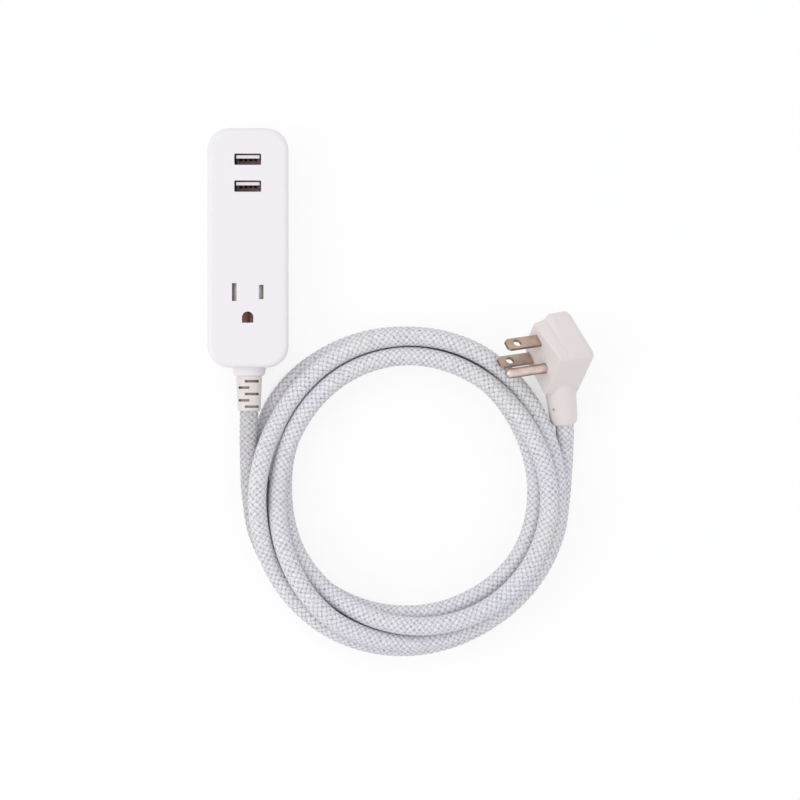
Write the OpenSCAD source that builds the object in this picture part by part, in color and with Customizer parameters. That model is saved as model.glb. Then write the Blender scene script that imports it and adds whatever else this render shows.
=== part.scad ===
// Short extension cord with one grounded outlet and two USB ports.
//
// A flat white head lies on its back.  Its face carries two upright USB-A
// receptacles and one 15 A grounded outlet with sprung safety shutters.  A
// braided three-wire cord leaves the foot of the head through a grooved boot,
// is wound by hand into a flat coil of four and a half turns, and ends in an
// angled flat plug that leans on the coil.
//
// Frame: +Z is up, the head's back rests on z = 0 and its length lies along Y.
// Units are millimetres.

/* [Head] */
// Width of the head across its face
head_w = 38.4; // [34:0.1:50]
// Length of the head, without boot and collar
head_l = 113.2; // [105:0.1:140]
// Thickness of the head, back to face
head_t = 28; // [26:0.1:32]
// Radius of the four upright corners
corner_r = 10.5; // [6:0.1:14]
// Roundness of the rim around the face
rim_r = 2.4; // [1:0.1:4]
// Roundness of the edge around the back
back_r = 1.6; // [0.5:0.1:3]
// Height of the parting line above the back
part_z = 14; // [12:0.5:15]
// Wall thickness of both covers
wall = 2; // [1.6:0.1:2.6]
// Inset of the sides at the parting line
part_inset = 0.4; // [0:0.05:0.6]
// Inset of the sides at the back
back_inset = 1; // [0.4:0.05:1.4]

/* [Outlet] */
// Centre line of the two blade slots along the head
slot_y = -20.9; // [-26:0.1:-16]
// Half the distance between the two blade slots
slot_x = 6.35; // [6.3:0.01:6.4]
// Width of both blade slots
slot_w = 2.2; // [1.9:0.1:2.4]
// Length of the neutral slot
neutral_len = 8.5; // [8:0.1:9]
// Length of the hot slot
hot_len = 6.8; // [6.5:0.1:7.2]
// Distance from the slots to the ground hole
ground_drop = 11.9; // [11.8:0.01:12]
// Width of the ground hole
ground_w = 5.4; // [5:0.1:6]
// Inward travel of each safety shutter
shutter_travel = 2.4; // [2.1:0.1:2.6]

/* [USB ports] */
// Centre of the upper port along the head
usb_y = 41.8; // [38:0.1:44]
// Distance between the two ports
usb_pitch = 12.7; // [10:0.1:15]
// Outside width of a port's metal shell
usb_w = 13.1; // [12.8:0.1:13.4]
// Outside height of a port's metal shell
usb_h = 5.7; // [5.5:0.1:6]

/* [Cord] */
// Diameter of the braided cord
cord_d = 8.7; // [7:0.1:9]
// Centre of the coil in plan
coil_at = [75.7, -115.8];

/* [Plug] */
// Midpoint between the roots of the two blades
plug_at = [135.9, -47.9, 18.4];
// Tilt of the plug about X, then Y, then Z
plug_turn = [50.9, 46.3, -111.8];
// Length of the flat blades
blade_len = 17.5; // [16:0.1:18.3]
// Length of the ground pin
pin_len = 21; // [19:0.1:22]
// Radius of the ground pin
pin_r = 2.38; // [2.3:0.01:2.5]

/* [Hidden] */
$fn = 48;
cover_t = 2.2;
white = [0.94, 0.93, 0.94];
warm_white = [0.88, 0.86, 0.84];
steel = [0.78, 0.77, 0.76];
brass = [0.78, 0.66, 0.42];
black = [0.12, 0.12, 0.13];
ground_y = slot_y - ground_drop;
cord_r = cord_d / 2;
foot_y = -head_l / 2;
exit_z = 14;
screw_x = 12.25;
screw_y = 49.7;
board_z = 11.8;
board_t = 1.6;
channel_z = 22.8;
shutter_hw = 4.6;

// The coil is laid by hand: twelve places to a turn, like the hours of a
// clock, each with the distance of the cord's middle from the coil's centre
// and its height.  The first place is on the left, and the turns run
// counter-clockwise as seen from above.
lay = [
  // from the boot down the left, over and then under the pile
  [75.1, 12.9], [73.5, 6.1], [69.6, 4.45], [64.3, 4.45], [63, 4.45], [63.5, 4.45],
  [64.5, 4.45], [70.5, 4.45], [74.4, 4.45], [74.8, 4.45], [76, 4.45], [76.1, 4.45],
  // second turn, drawn in under the next and up onto it
  [70, 4.45], [64.2, 4.45], [60.3, 7.5], [58.5, 12.3], [59, 13.1], [61.1, 13.4],
  [61.2, 13.4], [62, 9], [65, 4.45], [65.5, 4.45], [64.3, 4.45], [62.3, 4.45],
  // third turn, climbing to the top of the pile
  [59.8, 7], [60.4, 13.5], [61, 17], [63.1, 21.7], [66, 22.1], [67.5, 22.4],
  [66.8, 22.4], [64.4, 19.9], [64.3, 15.3], [64.8, 13.8], [63.5, 13.75], [61.6, 13.75],
  // fourth turn, across the top and out to the rim
  [62, 16.2], [65.2, 22], [70.1, 21.3], [71.4, 14.8], [71, 13.7], [71, 13.7],
  [71, 13.8], [71.5, 13.8], [73.8, 13.75], [74, 13.75], [72.8, 13.7], [70.7, 14.8],
  // last half turn, over the first and down the outside to the plug
  [71.5, 21.9], [73.7, 15.4], [74.9, 13], [74.4, 5.8], [73, 4.45], [73.4, 4.45],
  [73.7, 4.5]
];
// The straight run from the boot to the coil.
boot_run = [[0, -53, 14], [0, -65, 14], [0, -77, 14], [-0.2, -92, 13.1], [0.2, -107.4, 12.9]];
// The run from the coil up to the plug; its last stretch follows the plug.
plug_run = [[150, -107.4, 4.6], [150.4, -101.5, 5.15], [150.6, -94.5, 6.8]];

// Rotation in the order X, Y, Z, as rotate() applies it.
function spin_x(p, a) = [p.x, p.y * cos(a) - p.z * sin(a), p.y * sin(a) + p.z * cos(a)];
function spin_y(p, a) = [p.x * cos(a) + p.z * sin(a), p.y, p.z * cos(a) - p.x * sin(a)];
function spin_z(p, a) = [p.x * cos(a) - p.y * sin(a), p.x * sin(a) + p.y * cos(a), p.z];
function on_plug(p) = plug_at + spin_z(spin_y(spin_x(p, plug_turn.x), plug_turn.y), plug_turn.z);

// Plug, in its own frame: X from the neutral to the hot blade, Y towards the
// ground pin, Z out of the front face.  The cord leaves between +X and +Y.
relief_root = [5.2, 10.8, -9.8];
relief_tip = [24.9, 27.9, -11.6];
relief_len = norm(relief_tip - relief_root);
relief_axis = (relief_tip - relief_root) / relief_len;
gate_turn = [0, 23, 121.5];
function on_relief(d) = on_plug(relief_tip + d * relief_axis);

// Smooth interpolation through stations, used for every bent route.
function smooth(a, b, c, d, t) =
  0.5 * (2 * b + (c - a) * t + (2 * a - 5 * b + 4 * c - d) * t * t + (3 * b - a - 3 * c + d) * t * t * t);
function station(list, i) = list[max(0, min(len(list) - 1, i))];
function along(list, u) = let(i = min(len(list) - 2, floor(u)))
  smooth(station(list, i - 1), station(list, i), station(list, i + 1), station(list, i + 2), u - i);
function route(list, per) = [for (k = [0 : per * (len(list) - 1)]) along(list, k / per)];

// Coil: 24 rings to a turn, two to each place of the lay.
coil_rings = 2 * (len(lay) - 1);
function coil_point(k) = let(rz = along(lay, k / 2), a = 180 + 15 * k)
  [coil_at.x + rz.x * cos(a), coil_at.y + rz.x * sin(a), rz.y];
coil_line = concat([boot_run[4]], [for (k = [0 : coil_rings]) coil_point(k)], [plug_run[0]]);
end_line = concat(plug_run, [on_relief(3), on_relief(-5)]);
whole_line = concat(
  [for (i = [0 : 3]) boot_run[i]], coil_line, [for (i = [1 : len(end_line) - 1]) end_line[i]]);
first_coil = 4;
last_coil = first_coil + len(coil_line) - 1;
last_point = len(whole_line) - 1;

function unit(v) = v / norm(v);
function heading(line, i) = unit(line[min(len(line) - 1, i + 1)] - line[max(0, i - 1)]);
function side_of(t) = unit(cross(t, [0, 0, 1]));
function ring(line, i, r, n) = let(t = heading(line, i), s = side_of(t), u = cross(s, t))
  [for (k = [0 : n - 1]) line[i] + r * (cos(360 * k / n) * s + sin(360 * k / n) * u)];

// One unbroken tube along line[from..to], closed with a fan at each end.
module tube(line, from, to, r, n) {
  m = to - from;
  points = [for (i = [from : to]) each ring(line, i, r, n)];
  walls = [for (i = [0 : m - 1], k = [0 : n - 1])
    let(a = i * n + k, b = i * n + (k + 1) % n)
    each [[a, b, b + n], [a, b + n, a + n]]];
  first = [for (k = [1 : n - 2]) [0, k + 1, k]];
  last = [for (k = [1 : n - 2]) [m * n, m * n + k, m * n + k + 1]];
  polyhedron(points = points, faces = concat(first, walls, last), convexity = 10);
}

// Length of a line, and the least distance between two of its stretches that
// are more than skip rings apart.
function line_length(line) = len(line) < 2 ? 0 :
  let(d = [for (i = [1 : len(line) - 1]) norm(line[i] - line[i - 1])]) d * [for (x = d) 1];
function off_segment(p, a, b) = let(t = max(0, min(1, ((p - a) * (b - a)) / ((b - a) * (b - a)))))
  norm(p - a - t * (b - a));
function least_gap(line, skip, d) =
  min([for (i = [0 : len(line) - 1 - skip], j = [i + skip : len(line) - 2])
    off_segment(line[i], line[j], line[j + 1])]) - d;

// Fine copy of the coil's middle line, every 5 degrees, for measuring.
fine_coil = [for (k = [0 : 6 * (len(lay) - 1)])
  let(rz = along(lay, k / 6), a = 180 + 5 * k) [rz.x * cos(a), rz.x * sin(a), rz.y]];

// Shutter spring: nine curls of eight rings.
spring_turns = 9;
spring_half = 4.9;
spring_r = 0.75;
spring_wire = 0.15;
spring_z = 24.25;
spring_line = concat(
  [[-spring_half, slot_y + spring_r, spring_z - 2 * spring_wire]],
  [for (k = [0 : 8 * spring_turns])
    [-spring_half + 2 * spring_half * (k + 1) / (8 * spring_turns + 2),
      slot_y + spring_r * cos(45 * k), spring_z + spring_r * sin(45 * k)]],
  [[spring_half, slot_y + spring_r, spring_z + 2 * spring_wire]]);

module plan(w, l, r) {
  square([w - 2 * r, l], center = true);
  square([w, l - 2 * r], center = true);
  for (sx = [-1, 1], sy = [-1, 1])
    translate([sx * (w / 2 - r), sy * (l / 2 - r)])
      circle(r);
}

// Cross-section of a shell: flat foot, drawn in by d on both sides, and
// rounded shoulders of radius e.
module shoulder_section(w, h, e, d) {
  polygon([[d - w / 2, 0], [w / 2 - d, 0], [w / 2, h - e], [-w / 2, h - e]]);
  translate([e - w / 2, h / 2])
    square([w - 2 * e, h / 2]);
  for (s = [-1, 1])
    translate([s * (w / 2 - e), h - e])
      circle(e);
}

// Block with upright corners of radius r, a rim of radius e round its top and
// sides that draw in by d towards its foot.
module soft_block(w, l, h, r, e, d) {
  rotate([90, 0, 0])
    linear_extrude(l - 2 * r, center = true)
      shoulder_section(w, h, e, d);
  rotate([90, 0, 90])
    linear_extrude(w - 2 * r, center = true)
      shoulder_section(l, h, e, d);
  for (sx = [-1, 1], sy = [-1, 1])
    translate([sx * (w / 2 - r), sy * (l / 2 - r), 0])
      rotate_extrude() {
        polygon([[0, 0], [r - d, 0], [r, h - e], [0, h - e]]);
        square([r - e, h]);
        translate([r - e, h - e])
          circle(e);
      }
}

module at_screws() {
  for (sx = [-1, 1], sy = [-1, 1])
    translate([sx * screw_x, sy * screw_y, 0])
      children();
}

module at_ports() {
  for (i = [0, 1])
    translate([0, usb_y - i * usb_pitch, 0])
      children();
}

module neck_hole(r) {
  translate([0, foot_y - 1, exit_z])
    rotate([-90, 0, 0])
      cylinder(r = r, h = wall + 2);
}

// Flat pad under the cord collar, cut off below height z (or above it when the
// band that reaches up from z ends at the parting line).
module collar_pad(z) {
  intersection() {
    translate([0, foot_y + wall, exit_z])
      rotate([90, 0, 0])
        cylinder(r = 8.1, h = wall);
    translate([-10, foot_y - 1, z])
      cube([20, wall + 2, head_t]);
  }
}

// Outline of the three openings of the outlet, grown by g all round.
module outlet_openings(g) {
  translate([-slot_x, slot_y])
    square([slot_w + 2 * g, neutral_len + 2 * g], center = true);
  translate([slot_x, slot_y])
    square([slot_w + 2 * g, hot_len + 2 * g], center = true);
  translate([0, ground_y])
    circle(ground_w / 2 + g);
  translate([-ground_w / 2 - g, ground_y - 2.6 - g])
    square([ground_w + 2 * g, 2.6 + g]);
}

module front_cover() {
  color(white)
    difference() {
      union() {
        difference() {
          translate([0, 0, part_z])
            soft_block(head_w, head_l, head_t - part_z, corner_r, rim_r, part_inset);
          translate([0, 0, part_z - 1])
            linear_extrude(head_t - cover_t - part_z + 1)
              plan(head_w - 2 * wall, head_l - 2 * wall, corner_r - wall);
        }
        collar_pad(part_z);
        at_screws()
          translate([0, 0, part_z + 1.4])
            cylinder(r = 3.2, h = head_t - cover_t - part_z - 0.9);
      }
      at_screws()
        translate([0, 0, part_z])
          cylinder(r = 1.3, h = 10.5);
      neck_hole(5.1);
      at_ports()
        translate([0, 0, part_z])
          linear_extrude(head_t)
            plan(usb_w - 0.4, usb_h - 0.3, 0.5);
      translate([0, 0, part_z])
        linear_extrude(head_t)
          outlet_openings(0);
    }
}

module rear_cover() {
  lip = wall + 0.1;
  color(white)
    difference() {
      union() {
        difference() {
          translate([0, 0, part_z - 0.3])
            mirror([0, 0, 1])
              soft_block(
                head_w - 2 * back_inset, head_l - 2 * back_inset, part_z - 0.3,
                corner_r - back_inset, back_r, part_inset - back_inset);
          translate([0, 0, cover_t])
            linear_extrude(part_z)
              plan(head_w - 2 * wall - 1.8, head_l - 2 * wall - 1.8, corner_r - wall - 0.9);
        }
        // lip that seats inside the front cover
        difference() {
          translate([0, 0, part_z - 1])
            linear_extrude(2.2)
              plan(head_w - 2 * lip, head_l - 2 * lip, corner_r - lip);
          translate([0, 0, part_z - 2])
            linear_extrude(4)
              plan(head_w - 2 * lip - 1.6, head_l - 2 * lip - 1.6, corner_r - lip - 0.8);
        }
        collar_pad(part_z - 0.3 - head_t);
        at_screws()
          translate([0, 0, 1])
            cylinder(r = 3.4, h = part_z + 0.3);
        // posts under the circuit board
        for (x = [-13, 13], y = [3, 41])
          translate([x, y, 1])
            cylinder(r = 1.8, h = board_z - 1);
        // posts under the contact carrier
        for (x = [-12.3, 12.3], y = [-37, -15.8])
          translate([x, y, 1])
            cylinder(r = 1.8, h = 7);
      }
      at_screws() {
        translate([0, 0, -1])
          cylinder(r = 2.9, h = 6);
        cylinder(r = 1.6, h = part_z + 3);
      }
      neck_hole(5.1);
      // seat of the boot's flange
      translate([0, foot_y + wall, exit_z])
        rotate([-90, 0, 0])
          cylinder(r = 7.1, h = 5);
    }
}

module cover_screws() {
  color(steel)
    at_screws()
      difference() {
        union() {
          translate([0, 0, 3.2])
            cylinder(r = 2.7, h = 1.8);
          translate([0, 0, 4])
            cylinder(r = 1.25, h = 18);
        }
        translate([0, 0, 2])
          linear_extrude(2.2)
            for (a = [0, 90])
              rotate(a)
                square([3, 0.7], center = true);
      }
}

// Moulded block that holds the three contacts and guides the shutters.
module socket_carrier() {
  color([0.85, 0.83, 0.78])
    difference() {
      translate([-14.5, -39.5, 8])
        cube([29, 26, 17.7]);
      for (s = [-1, 1])
        translate([s * slot_x - 2.7, slot_y - 4, 7])
          cube([5.4, 8, 14]);
      translate([0, ground_y, 7])
        cylinder(r = 4.6, h = 14);
      translate([0, 0, 20])
        linear_extrude(6)
          outlet_openings(0.15);
      translate([-7.7, slot_y - shutter_hw - 0.15, channel_z])
        cube([15.4, 2 * shutter_hw + 0.3, 4]);
    }
}

// Folded brass clip: two leaves with flared mouths, a tail and a crimp.
module blade_contact(x) {
  g = 0.85;
  t = 0.6;
  translate([x, slot_y, 0]) {
    rotate([90, 0, 0])
      linear_extrude(6.4, center = true)
        polygon([
          [-g - t, 8.4], [-g - t, 18.4], [-g - t - 0.7, 20], [-g - 0.6, 20.3], [-g, 18.6], [-g, 9],
          [g, 9], [g, 18.6], [g + 0.6, 20.3], [g + t + 0.7, 20], [g + t, 18.4], [g + t, 8.4]]);
    translate([-1, -2, 5.6])
      cube([2, 1.2, 3]);
    crimp(-3.4, 5.6);
  }
}

module crimp(y, l) {
  translate([0, y, 4.2])
    rotate([-90, 0, 0])
      difference() {
        cylinder(r = 1.95, h = l);
        translate([0, 0, -1])
          cylinder(r = 1.4, h = l + 2);
      }
}

module hot_contact() {
  color(brass)
    blade_contact(slot_x);
}

module neutral_contact() {
  color(brass)
    blade_contact(-slot_x);
}

// Two broad leaves with a funnel mouth that close on the round ground pin.
module ground_contact() {
  color(brass) {
    translate([0, ground_y, 0])
      rotate([90, 0, 0])
        linear_extrude(5.6, center = true)
          polygon([
            [-3.4, 10.4], [-3.4, 15], [-1.3, 17.2], [-3.1, 19.7], [-2.6, 20], [-0.5, 17.2],
            [-2.8, 14.8], [-2.8, 11], [2.8, 11], [2.8, 14.8], [0.5, 17.2], [2.6, 20],
            [3.1, 19.7], [1.3, 17.2], [3.4, 15], [3.4, 10.4]]);
    translate([-1.1, ground_y - 3.4, 5.6])
      cube([2.2, 0.7, 5.4]);
    translate([0, ground_y, 0])
      crimp(-6.6, 4.4);
  }
}

// Sprung shutter: a blade on its ramp drives it inward.
module shutter() {
  difference() {
    translate([0, slot_y, 0])
      rotate([90, 0, 0])
        linear_extrude(2 * shutter_hw, center = true)
          polygon([[-7.6, 22.9], [-7.6, 23.1], [-5.1, 25.6], [-3.6, 25.6], [-3.6, 22.9]]);
    translate([-5, slot_y, spring_z])
      rotate([0, 90, 0])
        cylinder(r = 1.05, h = 3);
  }
}

module neutral_shutter() {
  color([0.80, 0.77, 0.70])
    shutter();
}

module hot_shutter() {
  color([0.80, 0.77, 0.70])
    mirror([1, 0, 0])
      shutter();
}

module shutter_spring() {
  color(steel)
    tube(spring_line, 0, len(spring_line) - 1, spring_wire, 6);
}

// Folded metal shell of one port, standing on the board behind its opening.
module usb_shell() {
  translate([0, 0, board_z + board_t])
    linear_extrude(head_t - cover_t - 0.1 - board_z - board_t)
      difference() {
        plan(usb_w, usb_h, 0.8);
        plan(usb_w - 0.6, usb_h - 0.6, 0.5);
      }
}

module upper_usb_shell() {
  color(steel)
    translate([0, usb_y, 0])
      usb_shell();
}

module lower_usb_shell() {
  color(steel)
    translate([0, usb_y - usb_pitch, 0])
      usb_shell();
}

module usb_tongues() {
  color([0.93, 0.91, 0.91])
    at_ports() {
      translate([-6, -2.4, board_z + board_t + 0.1])
        cube([12, 4.8, 2.6]);
      translate([-5.5, 0.45, board_z + board_t + 2])
        cube([11, 1.5, 11]);
    }
}

// Four sprung contact strips on the lower side of each tongue.
module usb_contacts() {
  color(brass)
    at_ports()
      for (x = [-3.5, -1.1, 1.1, 3.5])
        translate([x, 0.4, 0])
          rotate([90, 0, 90])
            linear_extrude(1.1, center = true)
              polygon([
                [0, 16.1], [0, 26], [-0.25, 26], [-1.2, 24.4], [-0.35, 21.6], [-0.25, 16.1]]);
}

module circuit_board() {
  color([0.12, 0.36, 0.22])
    translate([-15.5, -2, board_z])
      cube([31, 47.8, board_t]);
}

// Ferrite frame of the small transformer.
module transformer_core() {
  color([0.22, 0.22, 0.24])
    translate([-12.5, 8, board_z + board_t + 1.2])
      difference() {
        cube([13, 6, 10]);
        translate([2.4, -1, 2.4])
          cube([8.2, 8, 5.2]);
      }
}

// Taped winding through the frame, with the bobbin's feet below.
module transformer_winding() {
  color([0.85, 0.72, 0.2])
    difference() {
      union() {
        translate([-10, 5.5, board_z + board_t + 3.7])
          cube([8, 11, 5]);
        for (y = [5.5, 15])
          translate([-10, y, board_z + board_t])
            cube([8, 1.5, 4]);
      }
      translate([-9, 4, board_z + board_t - 1])
        cube([6, 14, 3.4]);
    }
}

module capacitors() {
  color(black) {
    translate([9, 5, board_z + board_t])
      cylinder(r = 4, h = 10.5);
    translate([9, 14.5, board_z + board_t])
      cylinder(r = 4, h = 10.5);
    translate([3.2, 18.5, board_z + board_t])
      cylinder(r = 2.5, h = 9);
  }
}

module power_chip() {
  color(black) {
    translate([-12, -0.5, board_z + board_t])
      cube([6, 4, 1.6]);
    for (x = [-11.4, -10.1, -8.8, -7.5], y = [-1.3, 3.4])
      translate([x, y, board_z + board_t])
        cube([0.7, 1, 0.4]);
  }
}

module wire(points, r, per) {
  line = route(points, per);
  tube(line, 0, len(line) - 1, r, 8);
}

module hot_lead() {
  color(black)
    wire([[1.9, -52.3, 12.8], [2.3, -50, 12.3], [4, -44.5, 8], [6, -37, 4.4], [6.35, -29, 4.2], [6.35, -21.8, 4.2]], 1.3, 3);
}

module neutral_lead() {
  color([0.9, 0.9, 0.88])
    wire([[-1.9, -52.3, 12.8], [-2.3, -50, 12.3], [-4, -44.5, 8], [-6, -37, 4.4], [-6.35, -29, 4.2], [-6.35, -21.8, 4.2]], 1.3, 3);
}

module ground_lead() {
  color([0.15, 0.5, 0.22])
    wire([[0, -52, 16], [0, -50.5, 15.4], [0, -47, 10], [0, -43, 4.9], [0, -39.4, 4.2], [0, -36.2, 4.2]], 1.3, 3);
}

// Two thin leads that carry mains power on to the board.
module board_leads() {
  color([0.6, 0.1, 0.1])
    for (s = [-1, 1])
      wire([[6.35 * s, -21.4, 4.2], [6.35 * s, -14, 4.2], [8 * s, -7, 5], [10 * s, -1, 7.5], [10.6 * s, 2, 11.2]], 0.8, 2);
}

module cord_collar() {
  color(white)
    translate([0, foot_y, exit_z])
      rotate([90, 0, 0])
        rotate_extrude()
          polygon([[5.1, 0], [8.1, 0], [7.45, 2.9], [7.15, 3.5], [6.6, 3.8], [5.1, 3.8]]);
}

// Where one row of the boot's grooves is cut: a long window above and one
// below, shifted to the right (side 0) or to the left (side 1) as seen from
// above, and for the left row a short one on the left.
module boot_windows(side) {
  for (a = [0, 180])
    rotate([0, a, 0])
      translate([side == 0 ? -1.7 : -4.8, -2, 2])
        cube([side == 0 ? 6.4 : 5.2, 4, 7]);
  if (side == 1)
    translate([-8, -2, -1.7])
      cube([3.6, 4, 3.4]);
}

// Flexible boot: hidden flange, neck, and a nose cut by rows of grooves that
// alternate from side to side.
module cord_boot() {
  color(warm_white)
    difference() {
      translate([0, -53, exit_z])
        rotate([90, 0, 0])
          rotate_extrude()
            polygon([
              [cord_r + 0.05, 0], [7, 0], [7, 1.5], [5, 1.5], [5, 7.4], [6.1, 7.4],
              [6.1, 8.6], [5.5, 22.9], [5.3, 23.7], [4.8, 24.2], [cord_r + 0.05, 24.2]]);
      for (i = [0 : 4])
        translate([0, -63 - 3.02 * i, exit_z])
          intersection() {
            rotate([90, 0, 0])
              difference() {
                cylinder(r = 8, h = 1.2, center = true);
                cylinder(r = 4.7, h = 2, center = true);
              }
            boot_windows(i % 2);
          }
    }
}

module cord_lead_in() {
  color([0.93, 0.92, 0.95])
    tube(whole_line, 0, first_coil, cord_r, 12);
}

module cord_coil() {
  color([0.93, 0.92, 0.95])
    tube(whole_line, first_coil, last_coil, cord_r, 6);
}

module cord_lead_out() {
  color([0.93, 0.92, 0.95])
    tube(whole_line, last_coil, last_point, cord_r, 12);
}

module on_plug_frame() {
  translate(plug_at)
    rotate(plug_turn)
      children();
}

// Slice of the plug's moulding: five corners, rounded by radius r.  The side
// by the neutral blade slants from x0 at its plain end to x0 + lean at y1, and
// the cord's end lies deeper by sink.
module plug_slice(z, h, x0, x1, y0, y1, cut, r, lean, sink = 0) {
  for (p = [[x0, y0], [x1 - cut, y0], [x1, y0 + cut], [x1, y1], [x0 + lean, y1]])
    translate([p.x + (p.x > 0 ? -r : r), p.y + (p.y > 0 ? -r : r), p.y > 0 ? z - sink : z])
      cylinder(r = r, h = h, $fn = 32);
}

// Frame of the strain relief: Z out of the plug along the cord, d past its tip.
module on_relief_frame(d) {
  translate(relief_tip + d * relief_axis)
    rotate([0, acos(relief_axis.z), atan2(relief_axis.y, relief_axis.x)])
      children();
}

// Angled flat plug moulded in one piece with its strain relief.
module plug_body() {
  color(warm_white)
    on_plug_frame()
      difference() {
        union() {
          // front of the body, which narrows towards its plain end
          hull() {
            plug_slice(-0.2, 0.2, -9.9, 10.4, -7.7, 19, 5, 1, -4.4);
            plug_slice(-1.2, 0.6, -10.6, 11, -8.2, 19.6, 5, 1.4, -4.4);
            plug_slice(-6, 0.6, -12, 12.6, -8.8, 19.9, 6, 2, -3.2);
          }
          // full width behind it
          hull() {
            plug_slice(-6, 0.6, -12, 12.6, -8.8, 19.9, 6, 2, -3.2);
            plug_slice(-8.4, 0.6, -14.6, 14, -10, 20, 7, 2.6, -0.6);
            plug_slice(-16.2, 1, -15.1, 14.6, -10, 20.3, 8, 2.8, -0.2, 1);
            plug_slice(-18.1, 0.6, -13.8, 13, -8.6, 18.8, 7, 2, -0.2, 1);
          }
          on_relief_frame(-relief_len)
            rotate_extrude()
              polygon([
                [0, 0], [7.9, 0], [7.25, 11.6], [6.7, relief_len - 3.4], [6.2, relief_len - 1.2],
                [5.5, relief_len - 0.3], [4.8, relief_len], [0, relief_len]]);
        }
        // seat of the cord in the strain relief
        on_relief_frame(-6)
          cylinder(r = cord_r + 0.05, h = 7);
        // pit left by the mould's gate
        translate(relief_tip - 8.8 * relief_axis)
          rotate(gate_turn)
            translate([0, 0, 6.2])
              cylinder(r = 0.6, h = 2, $fn = 24);
        // seat of the blade holder and the roots of the blades
        translate([-9.5, -4.5, -10])
          cube([19, 19.5, 7]);
        for (s = [-1, 1])
          translate([s * slot_x - 0.8, -3.2, -4])
            cube([1.6, 6.4, 5]);
        translate([0, ground_drop, -4])
          cylinder(r = pin_r - 0.37, h = 5);
      }
}

// Hard inner holder that the blades and the pin are set in.
module plug_core() {
  color([0.9, 0.88, 0.82])
    on_plug_frame()
      difference() {
        translate([-9.4, -4.4, -9.9])
          cube([18.8, 19.3, 6.8]);
        for (s = [-1, 1])
          translate([s * slot_x - 0.8, -3.2, -9])
            cube([1.6, 6.4, 7]);
        translate([0, ground_drop, -9])
          cylinder(r = pin_r - 0.37, h = 7);
      }
}

module blade(x) {
  on_plug_frame()
    translate([x - 0.75, 0, 0])
      rotate([90, 0, 90])
        linear_extrude(1.5)
          difference() {
            polygon([
              [-3.15, -8.9], [3.15, -8.9], [3.15, blade_len - 1.4], [2, blade_len],
              [-2, blade_len], [-3.15, blade_len - 1.4]]);
            translate([0, 11.7])
              circle(1.9);
          }
}

module neutral_blade() {
  color(brass)
    blade(-slot_x);
}

module hot_blade() {
  color(brass)
    blade(slot_x);
}

module ground_pin() {
  color(brass)
    on_plug_frame()
      translate([0, ground_drop, 0])
        rotate_extrude() {
          translate([0, -8.9])
            square([pin_r - 0.4, 9.4]);
          translate([0, 0.3])
            square([pin_r, pin_len - pin_r - 0.3]);
          intersection() {
            translate([0, pin_len - pin_r])
              circle(pin_r);
            square([pin_r, pin_len]);
          }
        }
}

echo(coil_length = line_length(fine_coil), least_gap = least_gap(fine_coil, 24, cord_d));
echo(run_in = line_length([for (i = [2 : 4]) boot_run[i]]), run_out = line_length(end_line) - 5);
echo(spring_gap = least_gap(spring_line, 6, 2 * spring_wire));
echo(plug_run_end = on_relief(3), relief_face = on_relief(0), seat = on_relief(-5));
echo(pin_axis = on_plug([0, ground_drop, 0]) , pin_dir = on_plug([0, 0, 1]) - plug_at);

front_cover();
rear_cover();
cover_screws();
socket_carrier();
hot_contact();
neutral_contact();
ground_contact();
neutral_shutter();
hot_shutter();
shutter_spring();
upper_usb_shell();
lower_usb_shell();
usb_tongues();
usb_contacts();
circuit_board();
transformer_core();
transformer_winding();
capacitors();
power_chip();
hot_lead();
neutral_lead();
ground_lead();
board_leads();
cord_collar();
cord_boot();
cord_lead_in();
cord_coil();
cord_lead_out();
plug_body();
plug_core();
neutral_blade();
hot_blade();
ground_pin();
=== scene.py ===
# %% [markdown]
# # An extension cord with a coiled, braided lead
#
# The object is a flat white outlet head, a braided cord wound into a loose
# coil, and an angled flat plug.  Its hard parts come from the CAD frame with
# their exact shapes, because they were drawn to size and fitted there.  This
# file makes what CAD is poor at: the soft cord, a stand-in for the spring, and
# the finish of every surface.  All lengths are metres, in the CAD model's own
# frame; a number times MM was thought of in millimetres.

# %% Load the frame
import math

import bpy
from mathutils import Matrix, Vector


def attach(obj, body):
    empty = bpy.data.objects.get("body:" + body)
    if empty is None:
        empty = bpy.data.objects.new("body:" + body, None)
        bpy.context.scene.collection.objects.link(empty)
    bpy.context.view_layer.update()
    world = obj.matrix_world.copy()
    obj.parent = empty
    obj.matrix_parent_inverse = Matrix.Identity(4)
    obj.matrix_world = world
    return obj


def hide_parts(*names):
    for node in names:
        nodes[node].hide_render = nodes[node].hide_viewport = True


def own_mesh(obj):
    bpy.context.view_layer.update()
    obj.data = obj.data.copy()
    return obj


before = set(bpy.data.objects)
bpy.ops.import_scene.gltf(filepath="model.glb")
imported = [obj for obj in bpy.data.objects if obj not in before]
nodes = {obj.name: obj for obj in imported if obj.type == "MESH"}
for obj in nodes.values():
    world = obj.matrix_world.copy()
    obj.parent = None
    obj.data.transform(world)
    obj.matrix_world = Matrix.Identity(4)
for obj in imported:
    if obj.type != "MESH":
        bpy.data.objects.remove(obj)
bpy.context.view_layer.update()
MM = 0.001
print("nodes in the frame:", len(nodes))


# %% [markdown]
# ## A clean start
#
# Operators act on whatever is selected, and a loader may leave parts
# selected.  Each step that calls an operator could pick its own object and
# hope for the best; an empty selection first is safer.

# %% Clear the selection
def clear_selection():
    if bpy.context.object and bpy.context.object.mode != "OBJECT":
        bpy.ops.object.mode_set(mode="OBJECT")
    bpy.ops.object.select_all(action="DESELECT")
    bpy.context.view_layer.objects.active = None


clear_selection()
print("selected:", len(bpy.context.selected_objects))

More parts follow.
